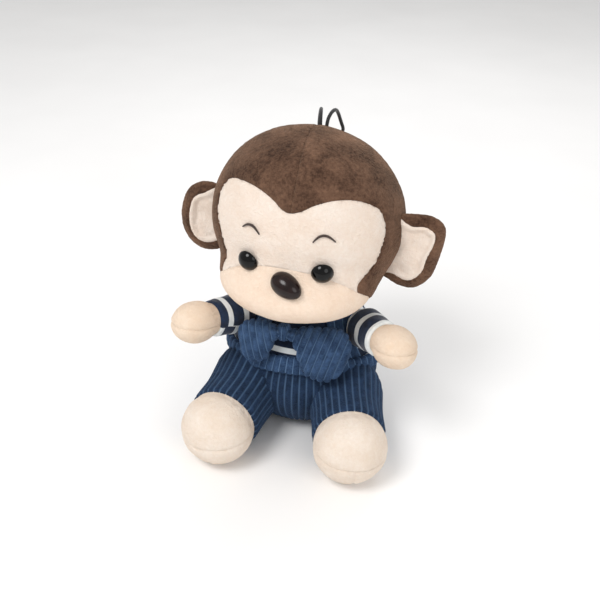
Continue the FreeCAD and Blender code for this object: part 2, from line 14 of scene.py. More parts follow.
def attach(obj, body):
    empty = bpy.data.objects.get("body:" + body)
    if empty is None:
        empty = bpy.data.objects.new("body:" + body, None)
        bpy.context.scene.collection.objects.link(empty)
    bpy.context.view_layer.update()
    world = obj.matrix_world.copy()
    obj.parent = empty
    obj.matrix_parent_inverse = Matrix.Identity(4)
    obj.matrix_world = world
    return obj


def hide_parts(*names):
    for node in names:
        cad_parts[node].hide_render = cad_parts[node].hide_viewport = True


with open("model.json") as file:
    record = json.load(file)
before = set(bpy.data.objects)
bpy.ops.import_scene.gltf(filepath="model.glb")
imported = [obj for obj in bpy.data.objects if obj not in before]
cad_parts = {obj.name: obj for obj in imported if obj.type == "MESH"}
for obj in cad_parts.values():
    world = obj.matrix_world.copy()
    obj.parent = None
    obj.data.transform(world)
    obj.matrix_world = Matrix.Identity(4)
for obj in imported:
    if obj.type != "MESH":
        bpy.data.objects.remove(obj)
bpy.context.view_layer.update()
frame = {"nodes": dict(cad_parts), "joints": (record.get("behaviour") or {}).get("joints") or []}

MM = 0.001
SIDES = (("left", 1), ("right", -1))

# ---- driving sizes -------------------------------------------------------------------------
HEAD_HALF = np.array((82.5, 67.5, 76.5))
HEAD_CENTRE_HEIGHT = 194.0
HEAD_SETBACK = -1.6
HEAD_TURN = 6.3                       # degrees towards the toy's right
MUZZLE_CENTRE = np.array((0.0, -37.0, -45.0))
MUZZLE_HALF = np.array((63.5, 45.5, 27.5))
MUZZLE_FILLET = 22.0                  # how softly the muzzle grows out of the skull
EYE_SPREAD = 30.0                     # from the middle of the face to each eye
EYE_DROP = 15.0
CHEST_CENTRE = np.array((0.0, 2.0, 68.0))
CHEST_HALF = np.array((68.0, 54.0, 45.0))
SEAT_CENTRE = np.array((0.0, -2.0, 44.0))
SEAT_HALF = np.array((68.0, 62.0, 54.0))
WAIST_HEIGHT = 66.0
WAIST_RISE = math.tan(math.radians(10))     # the waist climbs towards the front
WALE = 6.4                            # width of one corduroy rib
WALE_RISE = 1.5                       # from groove to crown of a rib
STRIPE_PITCH = 16.5                   # from ring to ring on a sleeve
SHIRT_PITCH = 13.0                    # from ring to ring on the shirt's front
COVER = 1.2                           # wall of a plush or jersey panel

# Limbs: ball radius, turn out and lift in degrees, cuff, then the end's half width, half length, centre
LIMBS = {"arm": (15.0, 36.0, 13.0, 31.0, 18.0, 21.0, 48.0),
         "leg": (30.5, 12.0, -2.0, 49.0, 31.5, 29.0, 61.0)}


def shift(x=0.0, y=0.0, z=0.0):
    return Matrix.Translation((x, y, z))


def turn(axis, degrees):
    return Matrix.Rotation(math.radians(degrees), 4, Vector(axis))


head_place = shift(0, 0, HEAD_CENTRE_HEIGHT) @ turn((0, 0, 1), -HEAD_TURN) @ shift(0, HEAD_SETBACK, 0)
joint_at = {joint["name"]: np.array(joint["pos_m"]) / MM for joint in frame["joints"]}


def limb_place(kind, side, sign):
    """Own +Z runs out along the limb and own +Y is up."""
    turn_out, lift = LIMBS[kind][1:3]
    pivot = joint_at[f"arm_swing_{side}" if kind == "arm" else f"leg_splay_{side}"]
    return shift(*pivot) @ turn((0, 0, 1), sign * turn_out) @ turn((1, 0, 0), 90 - lift)


# ---- numbers on arrays of points -----------------------------------------------------------
def smooth_max(a, b, width):
    """The larger of two, rounded where they meet."""
    share = np.clip(0.5 + 0.5 * (a - b) / width, 0, 1)
    return b + (a - b) * share + width * share * (1 - share)


def smooth_min(a, b, width):
    return -smooth_max(-a, -b, width)


def step(low, high, value):
    """Rises smoothly from 0 to 1 between two values."""
    share = np.clip((value - low) / (high - low), 0, 1)
    return share * share * (3 - 2 * share)


def reach(origin, heading, centre, half):
    """How far a ray runs before it leaves an ellipsoid, or 0 where it misses."""
    o = (origin - centre) / half
    d = heading / half
    a = (d * d).sum(-1)
    b = (o * d).sum(-1)
    c = (o * o).sum(-1) - 1
    inside = b * b - a * c
    return np.where(inside > 0, (-b + np.sqrt(np.maximum(inside, 0))) / a, 0.0)


def bumps(points, size, seed=0):
    """Smooth unevenness of about -1 to 1, with lumps of the given size."""
    flat = points.reshape(-1, 3) / size + seed * 17.3
    return np.array([noise.noise(p) for p in flat]).reshape(points.shape[:-1])


def wale(count):
    """A rib's rounded section, 0 in the groove and 1 at the crown, for a count of ribs."""
    return np.abs(np.sin(math.pi * count)) ** 0.55


def path_distance(points, path):
    """Distance to a broken line."""
    best = np.full(len(points), 1e6)
    for start, end in zip(np.array(path[:-1], float), np.array(path[1:], float)):
        run = end - start
        along = np.clip(((points - start) @ run) / (run @ run), 0, 1)
        best = np.minimum(best, np.linalg.norm(points - start - along[:, None] * run, axis=1))
    return best


def smooth_loop(points, steps=8):
    """A closed smooth curve through a few points."""
    points = np.array(points, float)
    out = []
    for index in range(len(points)):
        a, b, c, d = (points[(index + k) % len(points)] for k in (-1, 0, 1, 2))
        for share in np.arange(steps) / steps:
            out.append(0.5 * (2 * b + (c - a) * share + (2 * a - 5 * b + 4 * c - d) * share ** 2
                              + (3 * b - a - 3 * c + d) * share ** 3))
    return np.array(out)


def inside_loop(points, loop):
    """Signed distance to a closed curve in a plane, positive inside."""
    closed = np.vstack([loop, loop[:1]])
    distance = path_distance(points, closed)
    within = np.zeros(len(points), bool)
    for (ax, ay), (bx, by) in zip(closed[:-1], closed[1:]):
        crosses = (ay > points[:, 1]) != (by > points[:, 1])
        slope = (bx - ax) / (by - ay) if by != ay else 0.0
        within ^= crosses & (points[:, 0] < ax + (points[:, 1] - ay) * slope)
    return np.where(within, distance, -distance)


# ---- meshes --------------------------------------------------------------------------------
def placed(points, place=None):
    """Millimetres in a piece's own frame to metres in the row frame."""
    if place is not None:
        matrix = np.array(place)
        points = points @ matrix[:3, :3].T + matrix[:3, 3]
    return points * MM


def grid_normals(points):
    """Outward unit normals of a grid of points, which may close on itself either way."""
    slopes = []
    for axis in (1, 0):
        first, last = np.take(points, 0, axis), np.take(points, -1, axis)
        slope = np.gradient(points, axis=axis)
        if np.allclose(first, last, atol=1e-6):
            around = np.take(points, 1, axis) - np.take(points, -2, axis)
            if axis:
                slope[:, 0] = slope[:, -1] = around / 2
            else:
                slope[0] = slope[-1] = around / 2
        slopes.append(slope)
    normal = np.cross(*slopes)
    normal /= np.maximum(np.linalg.norm(normal, axis=-1, keepdims=True), 1e-9)
    outward = ((points - points.mean((0, 1))) * normal).sum(-1).mean()
    return normal if outward > 0 else -normal


def sheet_mesh(columns, rows, form, relief=None, place=None, pattern=None):
    """A grid laid on form(s, t), s across the columns and t along the rows, both from 0 to 1.

    relief(s, t) raises it, and pattern(s, t) gives the two numbers of its UV map.
    """
    s, t = np.meshgrid(np.linspace(0, 1, columns + 1), np.linspace(0, 1, rows + 1))
    points = form(s, t)
    if relief is not None:
        points = points + grid_normals(points) * relief(s, t)[..., None]
    points = placed(points, place)
    points[..., 2] = np.maximum(points[..., 2], 0.0)
    bm = bmesh.new()
    bmesh.ops.create_grid(bm, x_segments=columns, y_segments=rows, size=0.5)
    layer = bm.loops.layers.uv.new("pattern")
    across = {}
    for vert in bm.verts:
        across[vert] = (round((vert.co.y + 0.5) * rows), round((vert.co.x + 0.5) * columns))
    for vert, index in across.items():
        vert.co = points[index]
    if pattern is not None:
        u, v = pattern(s, t)
        for face in bm.faces:
            for loop in face.loops:
                index = across[loop.vert]
                loop[layer].uv = (u[index], v[index])
    bmesh.ops.remove_doubles(bm, verts=bm.verts, dist=2e-5)
    bmesh.ops.recalc_face_normals(bm, faces=bm.faces)
    return bm


def ball_points(level):
    """A fine ball and the unit headings of its vertices."""
    bm = bmesh.new()
    bmesh.ops.create_icosphere(bm, subdivisions=level, radius=1.0)
    return bm, np.array([vert.co.normalized() for vert in bm.verts])


def cut_along(bm, values):
    """Splits the faces where a value per vertex changes sign, so that a seam is a clean line."""
    near = 0.12
    values = np.where(np.abs(values) < near, 0.0, values)
    layer = bm.verts.layers.float.new("seam")
    for vert, value in zip(bm.verts, values):
        vert[layer] = value
    on_line = [vert for vert in bm.verts if vert[layer] == 0]
    for edge in list(bm.edges):
        a, b = edge.verts
        if a[layer] * b[layer] < 0:
            split = bmesh.utils.edge_split(edge, a, a[layer] / (a[layer] - b[layer]))[1]
            split[layer] = 0
            on_line.append(split)
    bmesh.ops.connect_verts(bm, verts=on_line)
    bm.verts.layers.float.remove(bm.verts.layers.float["seam"])


def positions(bm):
    return np.array([vert.co for vert in bm.verts])


def move_to(bm, points):
    for vert, point in zip(bm.verts, points):
        vert.co = point


def part_of(bm, keep):
    """A copy with only the faces whose flag is set."""
    piece = bm.copy()
    piece.faces.ensure_lookup_table()
    bmesh.ops.delete(piece, geom=[face for face, kept in zip(piece.faces, keep) if not kept], context="FACES")
    return piece


def piece(name, bm, material, body, nodes, fill=None, wall=None):
    """A finished mesh becomes a piece that rides on a body and stands for CAD nodes."""
    mesh = bpy.data.meshes.new(name)
    for face in bm.faces:
        face.smooth = True
    bm.to_mesh(mesh)
    bm.free()
    item = bpy.data.objects.new(name, mesh)
    bpy.context.scene.collection.objects.link(item)
    mesh.materials.append(material)
    if wall:
        solidify = item.modifiers.new("wall", "SOLIDIFY")
        solidify.thickness = wall * MM
        solidify.offset = -1
    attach(item, body)
    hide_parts(*nodes)
    return item


# ---- materials -----------------------------------------------------------------------------
def linear(hex_colour):
    """An sRGB hex value as a linear colour."""
    channels = [int(hex_colour[k:k + 2], 16) / 255 for k in (1, 3, 5)]
    return (*[c / 12.92 if c <= 0.04045 else ((c + 0.055) / 1.055) ** 2.4 for c in channels], 1.0)


def add_node(tree, kind, inputs=None, **settings):
    """A node with its settings, its inputs either set to a value or linked from a socket."""
    node = tree.nodes.new(kind)
    for name, value in settings.items():
        setattr(node, name, value)
    for key, value in (inputs or {}).items():
        if isinstance(value, bpy.types.NodeSocket):
            tree.links.new(value, node.inputs[key])
        else:
            node.inputs[key].default_value = value
    return node


def new_material(name, slot, **shader_inputs):
    """A material and its shader, with the shader's constants set on its own sockets."""
    material = bpy.data.materials.new(name)
    material.use_nodes = True
    material["slot"] = slot
    shader = material.node_tree.nodes["Principled BSDF"]
    for key, value in shader_inputs.items():
        shader.inputs[key.replace("_", " ")].default_value = value
    return material, material.node_tree, shader


def spots(tree, size, detail=2.0, vector=None, roughness=0.5, distortion=0.0):
    """Noise whose lumps are a given size in millimetres, on the piece's own place."""
    vector = vector or add_node(tree, "ShaderNodeTexCoord").outputs["Object"]
    texture = add_node(tree, "ShaderNodeTexNoise", {
        "Vector": vector, "Scale": 1 / (size * MM), "Detail": detail, "Roughness": roughness,
        "Distortion": distortion})
    return texture.outputs["Fac"]


def between(tree, share, low, high):
    """A colour between two, by a share."""
    mix = add_node(tree, "ShaderNodeMix", {0: share, 6: low, 7: high}, data_type="RGBA")
    return mix.outputs[2]


def ranged(tree, value, low, high):
    """A value spread out so that low becomes 0 and high becomes 1."""
    return add_node(tree, "ShaderNodeMapRange", {0: value, 1: low, 2: high}).outputs[0]


def bumped(tree, shader, height, distance, strength=1.0):
    bump = add_node(tree, "ShaderNodeBump", {
        "Height": height, "Distance": distance * MM, "Strength": strength})
    tree.links.new(bump.outputs["Normal"], shader.inputs["Normal"])


def plush(name, slot, deep, light, patch, sheen, tint):
    """Short-pile polyester plush: brushed patches, a bright edge where the pile is seen side-on."""
    material, tree, shader = new_material(name, slot, Roughness=0.9, Sheen_Weight=sheen,
                                          Sheen_Roughness=0.45, Sheen_Tint=linear(tint),
                                          Specular_IOR_Level=0.15)
    brushed = ranged(tree, spots(tree, patch, 3.0, distortion=0.3), 0.34, 0.68)
    tufts = ranged(tree, spots(tree, 2.8, 4.0, roughness=0.75), 0.36, 0.64)
    share = add_node(tree, "ShaderNodeMath", {0: brushed, 1: 0.55}, operation="MULTIPLY").outputs[0]
    share = add_node(tree, "ShaderNodeMath", {0: tufts, 1: 0.45, 2: share}, operation="MULTIPLY_ADD").outputs[0]
    tree.links.new(between(tree, share, linear(deep), linear(light)), shader.inputs["Base Color"])
    pile = add_node(tree, "ShaderNodeMath", {0: spots(tree, 1.1, 3.0), 1: 0.7, 2: tufts},
                    operation="MULTIPLY_ADD").outputs[0]
    bumped(tree, shader, pile, 0.65, 0.8)
    return material


def corduroy(name, deep, light, groove_highlight, edge):
    """Jumbo polyester corduroy: velvet ribs, and thin lighter lines painted along the grooves as highlight, where
    each rib's pile is seen side-on.
    """
    material, tree, shader = new_material(name, "navy_corduroy", Roughness=0.85,
                                          Sheen_Weight=0.35, Sheen_Roughness=0.35,
                                          Sheen_Tint=linear("#7f9cc4"), Specular_IOR_Level=0.15)
    pattern = add_node(tree, "ShaderNodeUVMap", uv_map="pattern").outputs[0]
    ribs = add_node(tree, "ShaderNodeSeparateXYZ", {0: pattern}).outputs[0]
    part = add_node(tree, "ShaderNodeMath", {0: ribs}, operation="FRACT").outputs[0]
    centred = add_node(tree, "ShaderNodeMath", {0: part, 1: 0.5}, operation="SUBTRACT").outputs[0]
    off_crown = add_node(tree, "ShaderNodeMath", {0: centred}, operation="ABSOLUTE").outputs[0]
    # the groove share lays the painted highlight colour in a thin line along each groove
    groove = add_node(tree, "ShaderNodeMapRange", {0: off_crown, 1: edge, 2: 0.5},
                      interpolation_type="SMOOTHSTEP").outputs[0]
    patches = ranged(tree, spots(tree, 8.0, 4.0, roughness=0.65, distortion=0.3), 0.36, 0.72)
    fibres = ranged(tree, spots(tree, 1.3, 3.0, roughness=0.7), 0.3, 0.7)
    share = add_node(tree, "ShaderNodeMath", {0: fibres, 1: 0.4}, operation="MULTIPLY").outputs[0]
    share = add_node(tree, "ShaderNodeMath", {0: patches, 1: 0.6, 2: share}, operation="MULTIPLY_ADD").outputs[0]
    rib = between(tree, share, linear(deep), linear(light))
    tree.links.new(between(tree, groove, rib, linear(groove_highlight)), shader.inputs["Base Color"])
    bumped(tree, shader, fibres, 0.45, 0.9)
    return material


def jersey():
    """Knitted polyester jersey: flat navy with white rings, and the fine ladder of its stitches."""
    material, tree, shader = new_material("striped_jersey", "striped_jersey", Roughness=0.8,
                                          Sheen_Weight=0.25, Specular_IOR_Level=0.2)
    pattern = add_node(tree, "ShaderNodeUVMap", uv_map="pattern").outputs[0]
    place = add_node(tree, "ShaderNodeSeparateXYZ", {0: pattern})
    part = add_node(tree, "ShaderNodeMath", {0: place.outputs[1]}, operation="FRACT").outputs[0]
    centred = add_node(tree, "ShaderNodeMath", {0: part, 1: 0.5}, operation="SUBTRACT").outputs[0]
    off_ring = add_node(tree, "ShaderNodeMath", {0: centred}, operation="ABSOLUTE").outputs[0]
    ring = add_node(tree, "ShaderNodeMapRange", {0: off_ring, 1: 0.17, 2: 0.155}).outputs[0]
    shade = ranged(tree, spots(tree, 6.0), 0.3, 0.7)
    navy = between(tree, shade, linear("#101c30"), linear("#1c2e4a"))
    white = between(tree, shade, linear("#dde2e2"), linear("#eff2f1"))
    tree.links.new(between(tree, ring, navy, white), shader.inputs["Base Color"])
    bumped(tree, shader, spots(tree, 0.9, 1.0), 0.2, 0.6)
    return material


def plain(name, slot, low, high, grain, bump, **shader_inputs):
    """A material with a slight drift of tone and a fine surface, for plastics, thread and filling."""
    material, tree, shader = new_material(name, slot, **shader_inputs)
    share = ranged(tree, spots(tree, grain, 2.0), 0.3, 0.7)
    tree.links.new(between(tree, share, linear(low), linear(high)), shader.inputs["Base Color"])
    if bump:
        bumped(tree, shader, spots(tree, grain / 3, 2.0), bump, 0.5)
    return material


BROWN = plush("brown_plush", "brown_plush", "#25130d", "#7b5c49", 21.0, 0.45, "#c9a98f")
CREAM = plush("cream_plush", "cream_plush", "#edd9c8", "#f6e9dd", 20.0, 0.1, "#fff6ea")
PEACH = plush("peach_plush", "peach_plush", "#f2d8c1", "#fbe7d4", 22.0, 0.1, "#fff1e0")
HAND = plush("hand_plush", "peach_plush", "#ecd2b8", "#f6e2cd", 18.0, 0.1, "#fff1e0")
FOOT = plush("foot_plush", "peach_plush", "#ecd9c6", "#f8ebde", 18.0, 0.1, "#fff1e0")
CORDUROY = corduroy("navy_corduroy", "#121f31", "#2d4363", "#4d6685", 0.3)      # the trousers' copy; its lighter groove lines are painted highlight
PLUMP_HIGHLIT_CORDUROY = corduroy("navy_corduroy_plump_highlit", "#162740", "#48648a", "#5f7b9e", 0.38)     # a lighter copy of the same corduroy for the bow, waistband and straps, whose ribs stand proud: its lighter ribs and groove lines are painted highlight
JERSEY = jersey()
BLACK_EYE = plain("glossy_black_plastic", "glossy_black", "#020202", "#060505", 4.0, 0,
                  Roughness=0.08, Specular_IOR_Level=0.28)
BROWN_NOSE = plain("glossy_brown_plastic", "glossy_brown", "#150807", "#22100d", 5.0, 0,
                   Roughness=0.2, Specular_IOR_Level=0.35)
NYLON = plain("white_nylon", "white_nylon", "#dcdcd8", "#ecece8", 3.0, 0.1, Roughness=0.5)
THREAD = plain("dark_thread", "thread", "#2a1a14", "#3d281f", 0.8, 0.15, Roughness=0.7, Sheen_Weight=0.3)
CORD = plain("black_cord", "black_cord", "#08080a", "#1a1a1d", 0.8, 0.25, Roughness=0.65, Sheen_Weight=0.3)
FILLING = plain("polyester_filling", "filling", "#e6e4df", "#f5f4f0", 6.0, 0.8, Roughness=1.0)


# ---- camera and hanging loop ---------------------------------------------------------------
def camera():
    """Seen from a little to the toy's left and from above."""
    azimuth, elevation, roll = (math.radians(v) for v in (9.4, 31.2, 1.7))
    back = Vector((math.sin(azimuth) * math.cos(elevation), -math.cos(azimuth) * math.cos(elevation),
                   math.sin(elevation)))
    right = Vector((math.cos(azimuth), math.sin(azimuth), 0))
    up = back.cross(right)
    right, up = (math.cos(roll) * right + math.sin(roll) * up, -math.sin(roll) * right + math.cos(roll) * up)
    data = bpy.data.cameras.new("camera")
    data.sensor_width = 36.0
    data.lens = 47.96
    data.shift_x = -0.0113
    data.shift_y = -0.0355
    item = bpy.data.objects.new("camera", data)
    rotation = Matrix((right, up, back)).transposed().to_4x4()
    item.matrix_world = Matrix.Translation(Vector((0, 0, 0.130)) + back * 0.7132) @ rotation
    bpy.context.scene.collection.objects.link(item)
    bpy.context.scene.camera = item


LOOP_ROUTE = [
    (3.0, 19.0, 66.5), (2.8, 19.0, 77.4), (1.4, 25.0, 83.5), (-0.6, 33.1, 83.6),
    (-3.2, 39.8, 78.0), (-5.4, 45.9, 69.0), (-7.1, 51.0, 59.7), (-1.1, 55.0, 53.0),
    (8.8, 55.4, 52.8), (15.3, 51.7, 59.2), (13.6, 46.0, 68.8), (12.4, 40.1, 78.3),
    (11.7, 33.4, 84.1), (10.0, 25.1, 83.7), (8.0, 19.6, 77.5), (7.4, 20.0, 66.5),
]
LOOP_DIAMETER = 0.003


def hanging_loop():
    """A limp black cord through the crown seam, both ends in a knot under the cover."""
    data = bpy.data.curves.new("hanging_loop", "CURVE")
    data.dimensions = "3D"
    spline = data.splines.new("NURBS")
    spline.points.add(len(LOOP_ROUTE) - 1)
    for point, route in zip(spline.points, LOOP_ROUTE):
        point.co = (*(head_place @ Vector(route) * MM), 1.0)
    spline.order_u = 3
    spline.use_endpoint_u = True
    spline.resolution_u = 12
    data.bevel_depth = LOOP_DIAMETER / 2
    data.bevel_resolution = 4
    data.use_fill_caps = True
    data.materials.append(CORD)
    item = bpy.data.objects.new("hanging_loop_cord", data)
    bpy.context.scene.collection.objects.link(item)
    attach(item, "head")
    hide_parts("hanging_loop")


camera()
hanging_loop()


# ---- the head ------------------------------------------------------------------------------
FACE_OUTLINE = [(-50, -40), (-56, -22), (-63, -4), (-66.5, 14), (-65, 28), (-56, 40), (-43, 44), (-28, 43.5),
                (-14, 39), (-3.5, 32.5), (3, 31), (11, 33), (21, 38), (33, 41), (45, 41), (57, 37), (67, 29),
                (72, 17), (72, 2), (67, -15), (57, -29), (48, -40)]
CROWN_DARTS = ([(21, -1, 74), (26, -5, 72)], [(55, -24, 50), (64, -18, 44), (75, 8, 30)])


def skull_point(x, z):
    """A point over the front of the skull, and the way the surface faces there."""
    y = -HEAD_HALF[1] * math.sqrt(1 - (x / HEAD_HALF[0]) ** 2 - (z / HEAD_HALF[2]) ** 2)
    normal = Vector((x / HEAD_HALF[0] ** 2, y / HEAD_HALF[1] ** 2, z / HEAD_HALF[2] ** 2)).normalized()
    return Vector((x, y, z)), normal


def muzzle_share(points):
    """Signed distance to the muzzle's seam, positive on the muzzle."""
    below = -8.3 - 0.008 * (points[:, 0] - 1) ** 2 - points[:, 2]
    ahead = -0.72 * (points[:, 1] + 51) - 0.69 * (points[:, 2] + 33)
    return smooth_min(below, ahead, 5)


def face_share(points):
    """Signed distance to the cream face's outline, positive on the face."""
    inside = inside_loop(points[:, (0, 2)], smooth_loop(FACE_OUTLINE))
    return np.where(points[:, 1] < -8, inside, -40.0) + 0.16 * bumps(points, 1.6)


def crown_share(points):
    """Which side of the crown seam a point is on, in millimetres."""
    return points[:, 0] - 3.5 * np.clip(-points[:, 1] / 45, 0, 1)


def depth_inside(points, centre, half):
    """Roughly how deep points lie in an egg, in millimetres."""
    offset = points - centre
    size = np.maximum(np.linalg.norm(offset / half, axis=1), 1e-6)
    return (1 - size) * np.linalg.norm(offset, axis=1) / size


def head_reach(headings):
    """How far the head's surface is from its centre: the muzzle flows out of the skull."""
    inside, outside = np.zeros(len(headings)), np.full(len(headings), 130.0)
    for _ in range(22):
        middle = (inside + outside) / 2
        points = headings * middle[:, None]
        depth = smooth_max(depth_inside(points, np.zeros(3), HEAD_HALF),
                           depth_inside(points, MUZZLE_CENTRE, MUZZLE_HALF),
                           6.0 + (MUZZLE_FILLET - 6.0) * step(-66.0, -48.0, points[:, 2]))
        inside, outside = np.where(depth > 0, middle, inside), np.where(depth > 0, outside, middle)
    return inside


def on_head(x, z, lift=0.0):
    """A point over the front of the head as it is shaped, and the way it faces there."""
    point, normal = skull_point(x, z)
    heading = np.array(point.normalized())[None]
    return point.normalized() * float(head_reach(heading)[0]) + normal * lift, normal


def head_skins():
    """One form for skull and muzzle, cut into its four plush panels along their seams."""
    bm, headings = ball_points(6)
    move_to(bm, headings * head_reach(headings)[:, None])
    cut_along(bm, muzzle_share(positions(bm)))
    cut_along(bm, face_share(positions(bm)))
    cut_along(bm, crown_share(positions(bm)))
    points = positions(bm)
    muzzle, face, crown = muzzle_share(points), face_share(points), crown_share(points)
    brown = (muzzle < 0) & (face < 0)
    edge = np.where(muzzle > 0, muzzle, np.where(face > 0, np.minimum(face, -muzzle),
                                                 np.minimum(-face, np.maximum(-muzzle, 0))))
    soft_seam = (muzzle > -6) & (points[:, 1] < -40) & ~brown
    lift = np.where(brown, 0.7, 0.0) - np.where(soft_seam, 0.18, 0.9) * np.exp(-(edge / 1.6) ** 2)
    dimple = 0.7 + 0.3 * np.cos(2 * math.pi * np.arctan2(points[:, 1], points[:, 2]) * 76 / 4.5)
    lift -= np.where(brown, 1.3 * dimple * np.exp(-(crown / 1.7) ** 2), 0)
    for dart in CROWN_DARTS:
        lift -= np.where(brown, 0.8 * np.exp(-(path_distance(points, dart) / 1.5) ** 2), 0)
    for side, sign in SIDES:
        away = np.linalg.norm(points - np.array(on_head(sign * EYE_SPREAD, -EYE_DROP)[0]), axis=1)
        lift -= 1.0 * np.exp(-(away / 12) ** 2)
    lift += 0.7 * bumps(points, 24) + np.where(brown, 0.35, 0.15) * bumps(points, 2.6, 3)
    bm.normal_update()
    normals = np.array([vert.normal for vert in bm.verts])
    move_to(bm, placed(points + normals * lift[:, None], head_place))
    middles = np.array([np.mean([points[vert.index] for vert in face.verts], axis=0)
                        for face in indexed(bm)])
    on_muzzle = muzzle_share(middles) > 0
    on_face = (face_share(middles) > 0) & ~on_muzzle
    on_left = crown_share(middles) > 0
    cap = ~(on_muzzle | on_face)
    piece("muzzle", part_of(bm, on_muzzle), PEACH, "head", ["muzzle_panel"], 0.8, COVER)
    piece("face", part_of(bm, on_face), CREAM, "head", ["face_panel"], 0.8, COVER)
    piece("head_cover_skin_left", part_of(bm, cap & on_left), BROWN, "head", ["head_cover_left"], 0.8, COVER)
    piece("head_cover_skin_right", part_of(bm, cap & ~on_left), BROWN, "head", ["head_cover_right"], 0.8, COVER)
    bm.free()


def indexed(bm):
    bm.verts.index_update()
    bm.faces.ensure_lookup_table()
    return bm.faces


def facing(point, normal):
    """A place on the head whose own +Z looks along a normal."""
    return head_place @ Matrix.Translation(point) @ normal.to_track_quat("Z", "Y").to_matrix().to_4x4()


def eyes():
    """A glossy dome with a turned-in edge, spun about its shank."""
    for side, sign in SIDES:
        point, normal = on_head(sign * EYE_SPREAD, -EYE_DROP, 0.6)
        bm = bmesh.new()
        profile = [(0, 7.1), (2.2, 6.9), (4.4, 6.1), (6.4, 4.8), (8, 3.1), (9, 1.2), (9.2, 0.2), (8.9, -0.6),
                   (0, -0.8)]
        verts = [bm.verts.new((x, 0, z)) for x, z in profile]
        edges = [bm.edges.new(pair) for pair in zip(verts, verts[1:])]
        bmesh.ops.spin(bm, geom=verts + edges, cent=(0, 0, 0), axis=(0, 0, 1), dvec=(0, 0, 0),
                       angle=2 * math.pi, steps=48, use_merge=True, use_duplicate=False)
        bmesh.ops.remove_doubles(bm, verts=bm.verts, dist=1e-4)
        bmesh.ops.recalc_face_normals(bm, faces=bm.faces)
        move_to(bm, placed(positions(bm), facing(point, normal)))
        item = piece(f"eye_button_{side}", bm, BLACK_EYE, "head", [f"eye_{side}"])
        smooth = item.modifiers.new("smooth", "SUBSURF")
        smooth.levels = smooth.render_levels = 1


def nose():
    """A soft egg-shaped button, its broad end up towards the toy's right eye."""
    bm, headings = ball_points(4)
    x, y, z = headings.T
    points = np.stack([x * 14.0, y * 9.6 * (1 + 0.12 * x), np.where(z > 0, z * 9.0, z * 1.5)], axis=1)
    up = math.radians(38)
    out = Vector((0, -math.cos(up), math.sin(up)))
    broad_end = Vector((-math.cos(math.radians(32)), 0, math.sin(math.radians(32))))
    broad_end = (broad_end - out * broad_end.dot(out)).normalized()
    turned = Matrix((broad_end, out.cross(broad_end), out)).transposed().to_4x4()
    move_to(bm, placed(points, head_place @ shift(5, -75, -26) @ turned))
    piece("nose_button", bm, BROWN_NOSE, "head", ["nose"])


BROWS = {"right": [(-36, 12.5), (-33, 15.5), (-28, 16.5), (-24, 14.5), (-20.5, 10.5)],
         "left": [(22.5, 11), (25.5, 15.2), (30, 17), (35, 15.5), (39, 11.5)]}


def eyebrows():
    """A satin-stitched arc, thin at its ends."""
    for side, route in BROWS.items():
        data = bpy.data.curves.new(f"brow_{side}", "CURVE")
        data.dimensions = "3D"
        spline = data.splines.new("NURBS")
        spline.points.add(len(route) - 1)
        for point, (x, z) in zip(spline.points, route):
            point.co = (*(head_place @ on_head(x, z, 0.9)[0] * MM), 1.0)
        for point, thickness in zip(spline.points, (0.6, 1.1, 1.35, 1.1, 0.6)):
            point.radius = thickness
        spline.order_u = 3
        spline.use_endpoint_u = True
        spline.resolution_u = 10
        data.bevel_depth = 0.85 * MM
        data.bevel_resolution = 3
        data.use_fill_caps = True
        data.materials.append(THREAD)
        item = bpy.data.objects.new(f"brow_{side}", data)
        bpy.context.scene.collection.objects.link(item)
        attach(item, "head")
        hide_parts(f"eyebrow_{side}")


EAR_SPREAD = 88.0
EAR_OUTLINES = {
    "left": [(-26, 22), (-12, 31), (4, 33.5), (20, 33), (29, 24), (28, 4), (21, -22), (6, -35), (-12, -31),
             (-26, -18)],
    "right": [(-24, 24), (-12, 33), (3, 34.5), (17, 27), (24.5, 10), (25.5, -8), (19, -24), (6, -31), (-10, -28),
              (-24, -16)]}


def outline_reach(angle, outline):
    """How far an outline is from its middle at each angle."""
    loop = smooth_loop(outline, 12)
    turns = np.arctan2(loop[:, 1], loop[:, 0])
    order = np.argsort(turns)
    return np.interp(angle, turns[order], np.hypot(*loop.T)[order], period=2 * math.pi)


